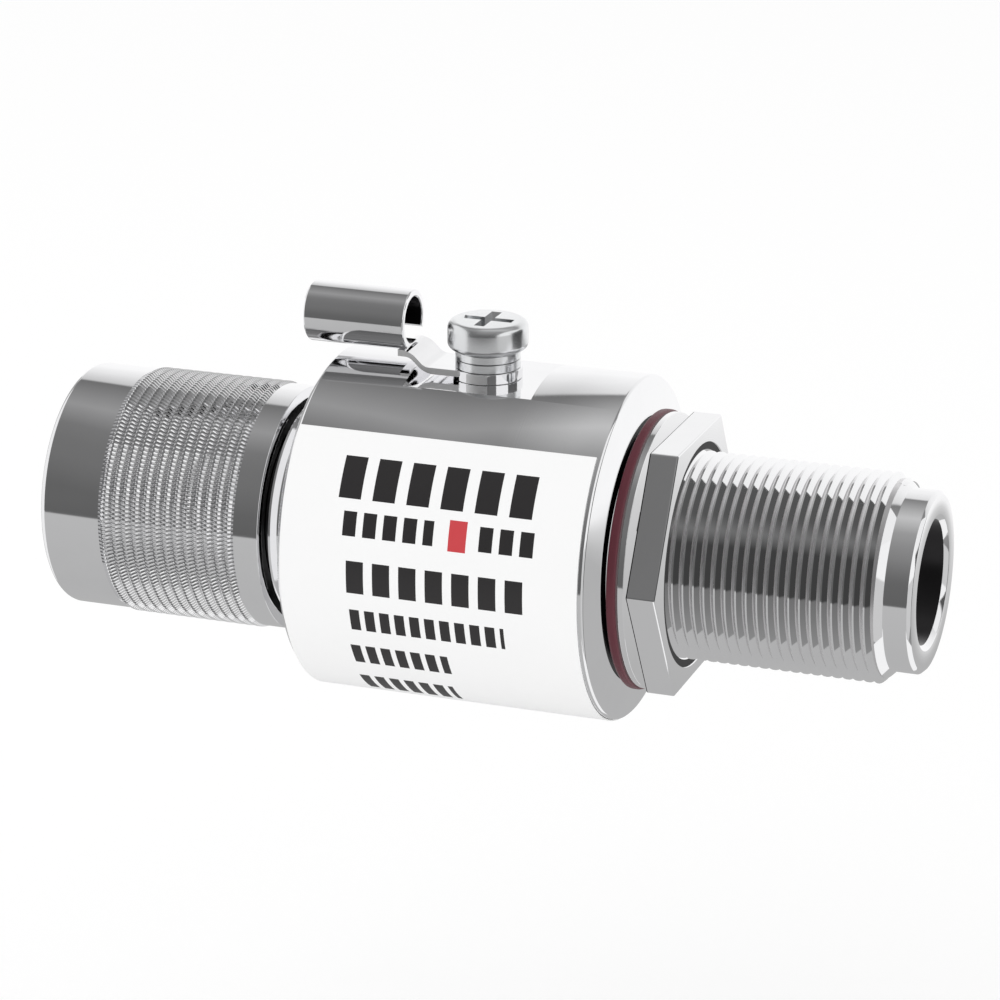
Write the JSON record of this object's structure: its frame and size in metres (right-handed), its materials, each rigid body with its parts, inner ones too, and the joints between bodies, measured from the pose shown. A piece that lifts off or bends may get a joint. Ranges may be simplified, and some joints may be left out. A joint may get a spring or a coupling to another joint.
{
  "type": "coaxial lightning arrestor",
  "caption": "Coaxial lightning arrestor: knurled screw-on plug, round labelled housing with a ground screw and crimp lug, and a threaded panel socket with its nut.",
  "frame": {"origin": "on the connector axis, in the plane of the housing's panel face", "axes": "+X along the connector axis towards the socket end, +Z towards the ground screw, so the label faces -Y"},
  "size_m": [0.0689, 0.0266, 0.0319],
  "materials": {
    "bright_nickel": "bright nickel plate on turned brass",
    "zinc_plate": "satin zinc plate",
    "tin_plate": "bright tin plate on copper sheet",
    "gold_plate": "gold plate",
    "spring_bronze": "plain phosphor bronze",
    "red_silicone": "dark red moulded silicone",
    "black_rubber": "black moulded rubber",
    "white_ptfe": "turned white fluoropolymer",
    "tube_ceramic": "glazed alumina",
    "white_label": "white satin film"
  },
  "bodies": {
    "root": {"housing": "bright_nickel", "plug_body": "bright_nickel", "snap_ring": "spring_bronze", "face_gasket": "black_rubber", "pin_contact": "gold_plate", "through_conductor": "gold_plate", "socket_contact": "gold_plate", "plug_insulator": "white_ptfe", "socket_insulator": "white_ptfe", "tube_inner_electrode": "bright_nickel", "tube_outer_electrode": "bright_nickel", "tube_ceramic": "tube_ceramic", "contact_spring": "spring_bronze", "panel_gasket": "red_silicone", "label": "white_label"},
    "coupling_nut": {"coupling_nut": "bright_nickel"},
    "panel_washer": {"lock_washer": "bright_nickel"},
    "panel_nut": {"hex_nut": "bright_nickel"},
    "screw_washers": {"flat_washer": "zinc_plate", "spring_washer": "zinc_plate"},
    "screw": {"ground_screw": "zinc_plate"},
    "lug": {"ground_lug": "tin_plate"},
    "seal": {"cap_seal": "black_rubber"},
    "cap": {"tube_cap": "bright_nickel"}
  },
  "joints": [
    {"name": "coupling_nut_spin", "type": "hinge", "parent": "root", "child": "coupling_nut", "pos_m": [-0.037, 0, 0], "axis": [1, 0, 0], "continuous": true},
    {"name": "panel_washer_slide", "type": "slide", "parent": "root", "child": "panel_washer", "axis": [1, 0, 0], "range_m": [0, 0.0146]},
    {"name": "panel_nut_turn", "type": "hinge", "parent": "panel_washer", "child": "panel_nut", "pos_m": [0.0033, 0, 0], "axis": [1, 0, 0], "range_deg": [0, 6480]},
    {"name": "screw_lift", "type": "slide", "parent": "root", "child": "screw_washers", "axis": [0, 0, 1], "range_m": [0, 0.00351]},
    {"name": "screw_turn", "type": "hinge", "parent": "screw_washers", "child": "screw", "pos_m": [-0.01257, 0, 0.015], "axis": [0, 0, 1], "range_deg": [0, 2520]},
    {"name": "lug_swivel", "type": "hinge", "parent": "root", "child": "lug", "pos_m": [-0.01257, 0, 0.0129], "axis": [0, 0, 1], "range_deg": [-90, 90]},
    {"name": "seal_slide", "type": "slide", "parent": "root", "child": "seal", "axis": [0, 1, 0], "range_m": [0, 0.00301]},
    {"name": "cap_turn", "type": "hinge", "parent": "seal", "child": "cap", "pos_m": [-0.01257, 0.0107, 0], "axis": [0, 1, 0], "range_deg": [0, 2160]}
  ],
  "couplings": [
    {"joint": "panel_washer_slide", "follows": "panel_nut_turn", "m_per_rad": 0.00012892},
    {"joint": "screw_lift", "follows": "screw_turn", "m_per_rad": 0.000079577},
    {"joint": "seal_slide", "follows": "cap_turn", "m_per_rad": 0.000079577}
  ]
}
